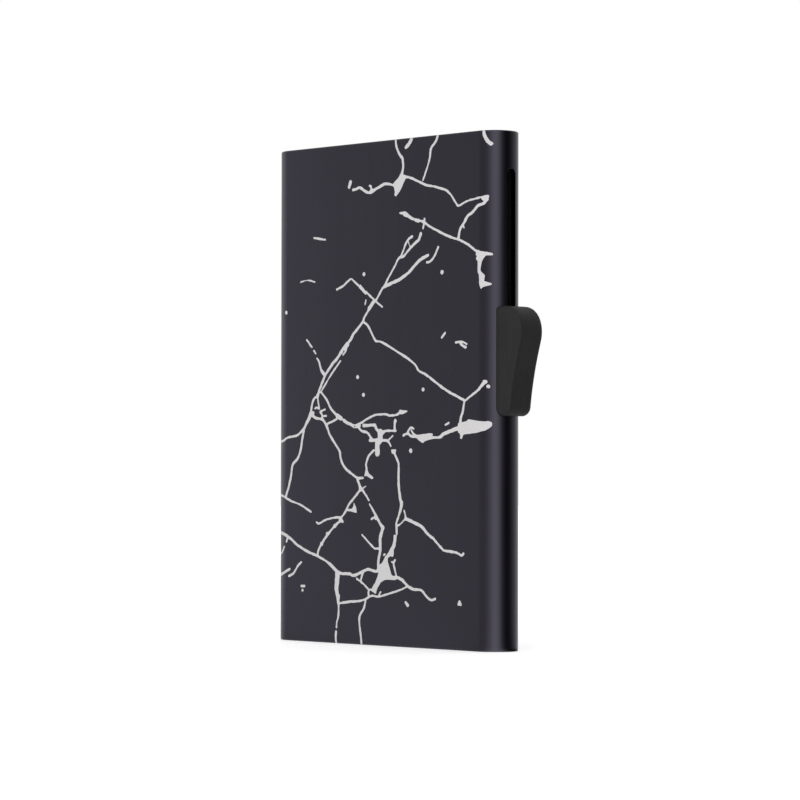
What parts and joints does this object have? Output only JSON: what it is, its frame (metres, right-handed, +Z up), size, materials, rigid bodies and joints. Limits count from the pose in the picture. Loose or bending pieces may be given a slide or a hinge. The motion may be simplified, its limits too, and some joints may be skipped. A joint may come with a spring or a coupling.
{
  "type": "minimalist card wallet",
  "caption": "Slim aluminium card wallet: a flattened sleeve with rounded sides and an open top, pale marble-vein print, and a side thumb tab that slides up to fan out the cards.",
  "frame": {"origin": "middle of the flat base, on the surface that the wallet stands on", "axes": "+Z up towards the open mouth, +X towards the thumb tab, -Y out of the printed front"},
  "size_m": [0.0674, 0.009, 0.098],
  "materials": {
    "anodised_aluminium": "fine bead-blasted, near-black anodised, satin",
    "marble_print": "thin pale grey printed veins, satin",
    "tab_plastic": "moulded, fine matte texture",
    "inner_plastic": "moulded, satin black",
    "foam": "soft black microfoam with a felted face",
    "spring_steel": "rolled strip"
  },
  "bodies": {
    "case": {"case_shell": "anodised_aluminium", "bottom_cap": "inner_plastic", "rest_pad": "foam", "slider_channel": "inner_plastic", "side_guide": "inner_plastic", "grip_strip_front_left": "foam", "grip_strip_front_right": "foam", "grip_strip_rear_left": "foam", "grip_strip_rear_right": "foam"},
    "slider": {"lift_carriage": "inner_plastic", "thumb_tab": "tab_plastic", "brake_spring": "spring_steel"}
  },
  "joints": [
    {"name": "slider_slide", "type": "slide", "parent": "case", "child": "slider", "axis": [0, 0, 1], "range_m": [0, 0.026]}
  ]
}
